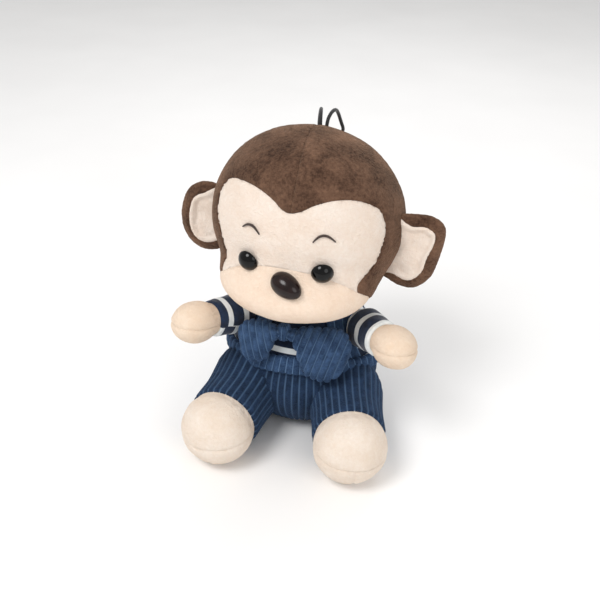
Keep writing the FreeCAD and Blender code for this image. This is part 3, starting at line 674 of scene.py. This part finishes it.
def ears():
    """A flat brown pillow with a sunken cream panel, creased towards its root."""
    for side, sign in SIDES:
        place = head_place @ shift(sign * EAR_SPREAD, -7, -14)
        outline = EAR_OUTLINES[side]
        bm, headings = ball_points(6)
        x, y, z = headings.T
        girth = outline_reach(np.arctan2(z, x), outline)
        move_to(bm, np.stack([x * girth, y * 8.5, z * girth], axis=1))

        def panel_share(points, outline=outline):
            edge = outline_reach(np.arctan2(points[:, 2], points[:, 0]), outline)
            rim = 9.5 * step(-26, -2, points[:, 0] - 0.3 * points[:, 2]) - 4 * step(-10, -24, points[:, 0])
            inside = edge - np.hypot(points[:, 0], points[:, 2]) - rim
            return np.where(points[:, 1] < 0, inside + 0.25 * bumps(points, 1.3), -20.0)

        cut_along(bm, panel_share(positions(bm)))
        points = positions(bm)
        share = panel_share(points)
        sunk = step(0.0, 7.0, share)
        fan = np.arctan2(points[:, 2], points[:, 0] + 34)
        moved = points.copy()
        moved[:, 1] = points[:, 1] * (1 - 0.55 * sunk) + np.exp(-(share / 1.5) ** 2)
        moved[:, 1] += sunk * (0.9 * np.sin(6.0 * fan + 0.8) + 0.8 * bumps(points, 9, 2))
        moved += (0.5 * bumps(points, 12, 5 + sign) + 0.3 * bumps(points, 2.6, 6))[:, None] * headings_of(points)
        middles = np.array([np.mean([points[vert.index] for vert in face.verts], axis=0) for face in indexed(bm)])
        in_panel = panel_share(middles) > 0
        moved[:, 0] *= sign
        move_to(bm, placed(moved, place))
        if sign < 0:
            bmesh.ops.reverse_faces(bm, faces=bm.faces)
        piece(f"ear_cover_{side}", part_of(bm, ~in_panel), BROWN, f"ear_{side}", [f"ear_back_{side}"], 0.4, COVER)
        piece(f"ear_lining_{side}", part_of(bm, in_panel), CREAM, f"ear_{side}", [f"ear_inner_{side}"], 0.3, COVER)
        bm.free()


def headings_of(points):
    return points / np.maximum(np.linalg.norm(points, axis=1, keepdims=True), 1e-6)


head_skins()
eyes()
nose()
eyebrows()
ears()


# ---- the torso -----------------------------------------------------------------------------
def torso_radius(angle, height):
    """How far the torso reaches from its middle line, for an angle from straight ahead."""
    origin = np.stack([0 * height, 0 * height, height], axis=-1)
    heading = np.stack([np.sin(angle), -np.cos(angle), 0 * angle], axis=-1)
    return smooth_max(reach(origin, heading, CHEST_CENTRE, CHEST_HALF),
                      reach(origin, heading, SEAT_CENTRE, SEAT_HALF), 8.0)


def torso_point(angle, height, grow=0.0):
    radius = torso_radius(angle, height) + grow
    return np.stack([radius * np.sin(angle), -radius * np.cos(angle), height], axis=-1)


def waist_height(angle):
    """The waist's height, which climbs towards the front."""
    return WAIST_HEIGHT + 60 * np.cos(angle) * WAIST_RISE


SEAT_WALES = 62


def seat():
    """The seat of the trousers, its ribs running down and under."""
    def form(s, t):
        angle = 2 * math.pi * (s - 0.5)
        side = np.clip(t / 0.8, 0, 1)
        height = (waist_height(angle) + 2) * np.cos(side * math.pi / 2) ** 0.9
        under = np.clip((t - 0.8) / 0.2, 0, 1)
        points = torso_point(angle, np.maximum(height, 0.5))
        middle = np.array((0.0, -2.0, 0.0))
        return middle + (points - middle) * np.stack([1 - under, 1 - under, 1 - under * 0.5], axis=-1)

    def relief(s, t):
        return WALE_RISE * (wale(s * SEAT_WALES) - 0.55) * (1 - np.clip((t - 0.8) / 0.1, 0, 1))

    bm = sheet_mesh(SEAT_WALES * 8, 60, form, relief, None, lambda s, t: (s * SEAT_WALES, t * 10))
    piece("trousers_seat_cover", bm, CORDUROY, "torso", ["trousers_seat"], 0.8, 1.4)


def shirt():
    """The striped shirt over the chest, down to under the waistband."""
    def form(s, t):
        angle = 2 * math.pi * (s - 0.5)
        low = waist_height(angle) - 2
        height = low + (112.6 - low) * np.sin(t * math.pi / 2)
        return torso_point(angle, height)

    def pattern(s, t):
        height = form(s, t)[..., 2]
        return s * 60, (height - 84.0) / SHIRT_PITCH + 0.5

    bm = sheet_mesh(200, 60, form, lambda s, t: 0.6 * bumps(form(s, t), 16, 2), None, pattern)
    piece("shirt_cover", bm, JERSEY, "torso", ["shirt_body"], 0.8, COVER)


def rounded_strip(around, half_width, half_depth):
    """Across and depth of a strip's section, for a share of the way round it."""
    angle = 2 * math.pi * around
    across = np.sign(np.sin(angle)) * np.abs(np.sin(angle)) ** 0.5 * half_width
    depth = np.sign(np.cos(angle)) * np.abs(np.cos(angle)) ** 0.5 * half_depth
    return across, depth


def waistband():
    """A folded strip of corduroy with upright ribs, its edges scalloped by them."""
    def form(s, t):
        angle = 2 * math.pi * (s - 0.5)
        across, depth = rounded_strip(t, 6.4, 2.9)
        swell = 0.55 + 0.45 * wale(s * SEAT_WALES)
        across = across * (0.82 + 0.18 * swell)
        sag = 0.6 * np.sin(angle * 3 + 0.6)
        return torso_point(angle, waist_height(angle) - 1.4 + across + sag, 3.4 + depth * swell)

    bm = sheet_mesh(SEAT_WALES * 8, 24, form, None, None, lambda s, t: (s * SEAT_WALES, t * 3))
    piece("waistband_strip", bm, PLUMP_HIGHLIT_CORDUROY, "torso", ["waistband"], 0.5)


STRAP_HALF_WIDTH = 8.8
STRAP_HALF_DEPTH = 1.5
STRAP_LEAN = 24.0                     # degrees that a strap leans in towards the neck


def strap_ribs(across):
    """A count of ribs across a strap, which has three."""
    return (across + STRAP_HALF_WIDTH) / (2 * STRAP_HALF_WIDTH) * 3


def straps():
    """A strip of corduroy over each shoulder with its ribs running along it."""
    lean = math.radians(STRAP_LEAN)
    for side, sign in SIDES:
        rise = np.array((-sign * math.sin(lean), 0.0, math.cos(lean)))
        width_way = np.array((math.cos(lean), 0.0, sign * math.sin(lean)))
        root = np.array((sign * 50.0, 0.0, WAIST_HEIGHT))

        def form(s, t, rise=rise, width_way=width_way, root=root):
            across, depth = rounded_strip(s, STRAP_HALF_WIDTH, STRAP_HALF_DEPTH)
            angle = math.radians(3) + t * math.radians(172)
            heading = (np.cos(angle)[..., None] * np.array((0.0, -1.0, 0.0))
                       + np.sin(angle)[..., None] * rise)
            origin = root + across[..., None] * width_way
            far = smooth_max(reach(origin, heading, CHEST_CENTRE, CHEST_HALF),
                             reach(origin, heading, SEAT_CENTRE, SEAT_HALF), 8.0)
            rib = wale(strap_ribs(across))
            proud = 2.0 + depth * (0.6 + 0.4 * rib) + 0.7 * (rib - 0.5) * np.sign(depth)
            return origin + heading * (far + proud)[..., None]

        def pattern(s, t):
            across = rounded_strip(s, STRAP_HALF_WIDTH, STRAP_HALF_DEPTH)[0]
            return strap_ribs(across), t * 20

        bm = sheet_mesh(64, 90, form, None, None, pattern)
        bmesh.ops.holes_fill(bm, edges=[edge for edge in bm.edges if edge.is_boundary], sides=0)
        piece(f"strap_strip_{side}", bm, PLUMP_HIGHLIT_CORDUROY, "torso", [f"strap_{side}"], 0.4)


seat()
shirt()
waistband()
straps()


# ---- the bow tie ---------------------------------------------------------------------------
BOW_PLACE = shift(-10, -50, 105)
BOW_LEAN = 25.0                       # degrees that the wings lean back on the chest
WING_HALF_DEPTH = 10.0
# Each wing's length, its top edge at the tip and at the knot, how far its lower edge flares, its droop
WINGS = {"left": (60.0, 22.0, 13.0, 27.0, 17.0), "right": (40.5, 15.0, 13.0, 21.0, 16.0)}


def bow():
    """Two gathered wings whose ribs cross them, held in a ribbed centre band."""
    for side, sign in SIDES:
        length, top_tip, top_knot, flare, droop = WINGS[side]
        place = BOW_PLACE @ turn((1, 0, 0), -BOW_LEAN) @ turn((0, 1, 0), sign * droop)
        ribs = round(length / WALE)

        def form(s, t, sign=sign, length=length, top_tip=top_tip, top_knot=top_knot, flare=flare):
            top = 5 + (top_knot - 5) * step(0.0, 0.3, s) + (top_tip - top_knot) * step(0.2, 0.8, s)
            bottom = -4 - (flare - 4) * step(0.03, 0.52, s)
            tip = np.sqrt(np.clip(1 - (np.maximum(s - 0.58, 0) / 0.42) ** 3.0, 0, 1))
            angle = 2 * math.pi * t
            height = (top + bottom) / 2 * (0.55 + 0.45 * tip) + np.sin(angle) * (top - bottom) / 2 * tip
            plump = 0.5 + 0.5 * np.sin(math.pi * np.clip(s, 0.02, 0.98)) ** 0.7
            depth = np.sign(np.cos(angle)) * np.abs(np.cos(angle)) ** 0.8 * WING_HALF_DEPTH * plump * tip
            gather = 1.1 * np.sin(angle * 6) * step(0.5, 0.0, s)
            return np.stack([sign * (4 + s * (length - 4)), -depth - gather, height], axis=-1)

        def relief(s, t, ribs=ribs):
            return 1.5 * WALE_RISE * (wale(s * ribs) - 0.5) * step(0.0, 0.1, s) * step(1.0, 0.97, s)

        bm = sheet_mesh(ribs * 10, 72, form, relief, place, lambda s, t, ribs=ribs: (s * ribs, t * 10))
        bmesh.ops.holes_fill(bm, edges=[edge for edge in bm.edges if edge.is_boundary], sides=0)
        piece(f"bow_loop_{side}", bm, PLUMP_HIGHLIT_CORDUROY, f"bow_wing_{side}", [f"bow_wing_{side}"], 0.5)

    def band(s, t):
        angle = 2 * math.pi * s
        across = (t - 0.5) * 2
        radius = 6.2 * np.sqrt(np.clip(1 - across ** 4 * 0.6, 0, 1)) * np.where(np.abs(across) > 0.999, 0.0, 1.0)
        return np.stack([np.cos(angle) * radius * 0.9, np.sin(angle) * radius, across * 7.2], axis=-1)

    bm = sheet_mesh(70, 24, band, lambda s, t: 0.9 * (wale(s * 7) - 0.5), BOW_PLACE @ turn((1, 0, 0), -10),
                    lambda s, t: (s * 7, t * 2))
    piece("bow_band", bm, PLUMP_HIGHLIT_CORDUROY, "torso", ["bow_centre"], 0.6)


bow()


# ---- arms and legs -------------------------------------------------------------------------
def limb_sleeve(kind, side, sign, name, node, material, ribs, wall):
    """A sleeve from the limb's ball to its cuff, closed round the ball."""
    radius, _, _, cuff = LIMBS[kind][:4]
    place = limb_place(kind, side, sign)
    ball_share = 0.35

    def form(s, t):
        angle = 2 * math.pi * s - math.pi / 2
        back = np.clip(1 - t / ball_share, 0, 1) * math.pi / 2
        out = np.clip((t - ball_share) / (1 - ball_share), 0, 1)
        girth = (radius + (3.2 if kind == "arm" else 0.6) * (1 - out)) * np.cos(back)
        girth = girth + (0.8 if kind == "arm" else 0.6) * out ** 2 - 1.6 * step(0.94, 1.0, out)
        along = -radius * np.sin(back) + out * cuff
        raised = (11.0 if kind == "leg" else 0.0) * step(30.0, -14.0, along)
        upper = np.maximum(np.sin(angle), 0)
        return np.stack([np.cos(angle) * (girth + 0.3 * raised), np.sin(angle) * girth + upper * raised, along],
                        axis=-1)

    def relief(s, t):
        if ribs:
            return WALE_RISE * (wale(s * ribs) - 0.55) * step(0.0, 0.2, t)
        return 0.7 * bumps(form(s, t), 9, 4 + sign) * step(0.1, 0.3, t)

    def pattern(s, t):
        if ribs:
            return s * ribs, t * 10
        along = form(s, t)[..., 2]
        lower = np.sin(2 * math.pi * s - math.pi / 2) < -0.15
        phase = -28.5 if sign > 0 else -21.0
        return s * 30, (along + phase) / STRIPE_PITCH + 0.5 + np.where(lower & (sign < 0), 0.5, 0.0)

    columns = ribs * 8 if ribs else 120
    bm = sheet_mesh(columns, 56, form, relief, place, pattern)
    piece(name, bm, material, f"{kind}_{side}", [node], 0.8, wall)


def limb_end(kind, side, sign, tip, material, names):
    """A hand or foot: one egg, cut into an upper and a lower panel along its side seam."""
    radius, _, _, cuff, half_width, half_length, centre = LIMBS[kind]
    place = limb_place(kind, side, sign)
    bm, headings = ball_points(6 if kind == "leg" else 5)
    behind = np.minimum(headings[:, 2], 0)
    girth = half_width * np.hypot(headings[:, 0], headings[:, 1])
    girth = np.where(behind < 0, smooth_max(girth, radius + 0.2, 2.0), girth)
    around = np.arctan2(headings[:, 1], headings[:, 0])
    along = centre + headings[:, 2] * half_length + behind * (centre - cuff + 8 - half_length)
    sewn_on = radius - 1.3                   # just over the filling, just inside the cuff
    girth = sewn_on + (girth - sewn_on) * step(cuff - 0.5, cuff + 6, along) ** 0.6
    points = np.stack([np.cos(around) * girth, np.sin(around) * girth, along], axis=1)
    seam = points[:, 1] + 0.06 * points[:, 0] * sign
    move_to(bm, points)
    cut_along(bm, seam)
    keep_back = cuff - 5.0
    bmesh.ops.bisect_plane(bm, geom=bm.verts[:] + bm.edges[:] + bm.faces[:], plane_co=(0, 0, keep_back),
                           plane_no=(0, 0, 1), clear_inner=True)
    points = positions(bm)
    seam = points[:, 1] + 0.06 * points[:, 0] * sign
    lift_by = -0.9 * np.exp(-(seam / 1.5) ** 2)
    lower_seam = np.where(seam < 0, np.abs(points[:, 0] - 2), 50)
    if kind == "leg":
        lift_by -= 0.8 * np.exp(-(lower_seam / 1.6) ** 2)
    lift_by += 0.7 * bumps(points, 16, 8 + sign) + 0.12 * bumps(points, 2.6, 9)
    lift_by *= step(cuff - 1, cuff + 6, points[:, 2])
    gather = step(cuff + 9, cuff + 3, points[:, 2]) * step(cuff, cuff + 3, points[:, 2])
    lift_by -= 0.4 * gather * (1 + np.cos(np.arctan2(points[:, 1], points[:, 0]) * 18))
    bm.normal_update()
    normals = np.array([vert.normal for vert in bm.verts])
    moved = placed(points + normals * lift_by[:, None], place)
    moved[:, 2] = np.maximum(moved[:, 2], 0.0)
    middles = np.array([np.mean([seam[vert.index] for vert in face.verts]) for face in indexed(bm)])
    move_to(bm, moved)
    for name, level, kept in zip(names, ("upper", "lower"), (middles > 0, middles <= 0)):
        piece(name, part_of(bm, kept), material, f"{kind}_{side}", [f"{tip}_{level}_panel_{side}"], 0.9, COVER)
    bm.free()


for side, sign in SIDES:
    limb_sleeve("arm", side, sign, f"sleeve_cover_{side}", f"sleeve_{side}", JERSEY, 0, COVER)
    limb_end("arm", side, sign, "hand", HAND, (f"hand_top_{side}", f"hand_underside_{side}"))
    limb_sleeve("leg", side, sign, f"trouser_leg_cover_{side}", f"trouser_leg_{side}", CORDUROY, 31, 1.4)
    limb_end("leg", side, sign, "foot", FOOT, (f"foot_top_{side}", f"foot_sole_{side}"))


# ---- the pieces carried over from the frame ------------------------------------------------
KEPT = {"stuffing": FILLING, "washer": NYLON, "stitching": THREAD, "knot": CORD}
for name, item in frame["nodes"].items():
    for word, material in KEPT.items():
        if word in name:
            item.data.materials.clear()
            item.data.materials.append(material)


# ---- floor and light -----------------------------------------------------------------------
def stage():
    """A white floor and soft studio light from above and in front."""
    bm = bmesh.new()
    bmesh.ops.create_grid(bm, x_segments=1, y_segments=1, size=6.0)
    mesh = bpy.data.meshes.new("floor")
    bm.to_mesh(mesh)
    bm.free()
    floor = bpy.data.objects.new("floor", mesh)
    floor.location.z = -0.0005
    bpy.context.scene.collection.objects.link(floor)
    material, tree, shader = new_material("white_paper_floor", "floor", Roughness=0.9, Specular_IOR_Level=0.1)
    shade = ranged(tree, spots(tree, 200.0), 0.2, 0.8)
    tree.links.new(between(tree, shade, linear("#f6f5f4"), linear("#fbfaf9")), shader.inputs["Base Color"])
    mesh.materials.append(material)
    world = bpy.data.worlds.new("studio")
    world.use_nodes = True
    world.node_tree.nodes["Background"].inputs["Color"].default_value = linear("#ffffff")
    world.node_tree.nodes["Background"].inputs["Strength"].default_value = 0.62
    bpy.context.scene.world = world
    lights = (("key", (-0.55, -0.8, 1.35), 0.7, 12.0), ("fill", (0.9, -0.8, 0.7), 0.8, 3.0),
              ("back", (0.1, 0.9, 1.2), 0.9, 5.0))
    for name, place, width, power in lights:
        data = bpy.data.lights.new(name, "AREA")
        data.shape = "DISK"
        data.size = width
        data.energy = power
        item = bpy.data.objects.new(name, data)
        aim = Vector((0, 0, 0.13)) - Vector(place)
        item.matrix_world = Matrix.Translation(place) @ aim.to_track_quat("-Z", "Y").to_matrix().to_4x4()
        bpy.context.scene.collection.objects.link(item)
    bpy.context.scene.view_settings.view_transform = "Standard"


stage()
